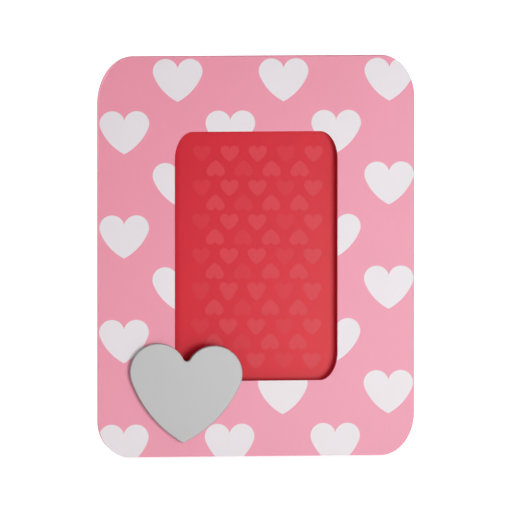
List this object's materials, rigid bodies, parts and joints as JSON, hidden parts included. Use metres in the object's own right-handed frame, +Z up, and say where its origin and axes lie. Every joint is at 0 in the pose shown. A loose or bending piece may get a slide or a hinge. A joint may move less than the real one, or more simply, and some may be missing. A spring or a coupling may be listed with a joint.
{
  "type": "picture frame",
  "caption": "Portrait picture frame with a heart plaque over one window corner, rebated panel, glazing, turn-button back and folding easel strut.",
  "frame": {"origin": "middle of the frame's footprint, on the table: the point under the centre of its bounding box", "axes": "+X to the right as seen from the front, +Y from the printed front towards the strut, +Z up; the panel leans back 15 degrees towards +Y"},
  "size_m": [0.186, 0.0884, 0.2301],
  "materials": {
    "painted_mdf": "painted",
    "printed_front": "satin print",
    "silver_heart": "matte silver-grey paint",
    "clear_glazing": "clear",
    "red_card": "matte print",
    "dark_board": "black covered board",
    "plated_steel": "nickel plated",
    "brass_plate": "satin"
  },
  "bodies": {
    "frame": {"backing_board": "dark_board", "fixed_leaf_rivet_1": "plated_steel", "fixed_leaf_rivet_2": "plated_steel", "front_panel": "painted_mdf", "glazing": "clear_glazing", "hanger_nail_1": "brass_plate", "hanger_nail_2": "brass_plate", "heart_plaque": "silver_heart", "hinge_fixed_leaf": "plated_steel", "hinge_pin": "plated_steel", "insert_card": "red_card", "printed_facing": "printed_front", "sawtooth_hanger": "brass_plate", "turn_screw_1": "plated_steel", "turn_screw_2": "plated_steel", "turn_screw_3": "plated_steel", "turn_screw_4": "plated_steel"},
    "strut": {"easel_strut": "dark_board", "hinge_strut_leaf": "plated_steel", "strut_leaf_rivet_1": "plated_steel", "strut_leaf_rivet_2": "plated_steel"},
    "turn_button_1_body": {"turn_button_1": "plated_steel"},
    "turn_button_2_body": {"turn_button_2": "plated_steel"},
    "turn_button_3_body": {"turn_button_3": "plated_steel"},
    "turn_button_4_body": {"turn_button_4": "plated_steel"}
  },
  "joints": [
    {"name": "strut_fold", "type": "hinge", "parent": "frame", "child": "strut", "pos_m": [0, 0.00987, 0.14432], "axis": [1, 0, 0], "range_deg": [-28, 0]},
    {"name": "button_1_turn", "type": "hinge", "parent": "frame", "child": "turn_button_1_body", "pos_m": [-0.0583, -0.01309, 0.06713], "axis": [0, 0.9659, -0.2588], "continuous": true},
    {"name": "button_2_turn", "type": "hinge", "parent": "frame", "child": "turn_button_2_body", "pos_m": [0.0583, -0.01309, 0.06713], "axis": [0, 0.9659, -0.2588], "continuous": true},
    {"name": "button_3_turn", "type": "hinge", "parent": "frame", "child": "turn_button_3_body", "pos_m": [-0.0583, 0.01175, 0.15986], "axis": [0, 0.9659, -0.2588], "continuous": true},
    {"name": "button_4_turn", "type": "hinge", "parent": "frame", "child": "turn_button_4_body", "pos_m": [0.0583, 0.01175, 0.15986], "axis": [0, 0.9659, -0.2588], "continuous": true}
  ]
}
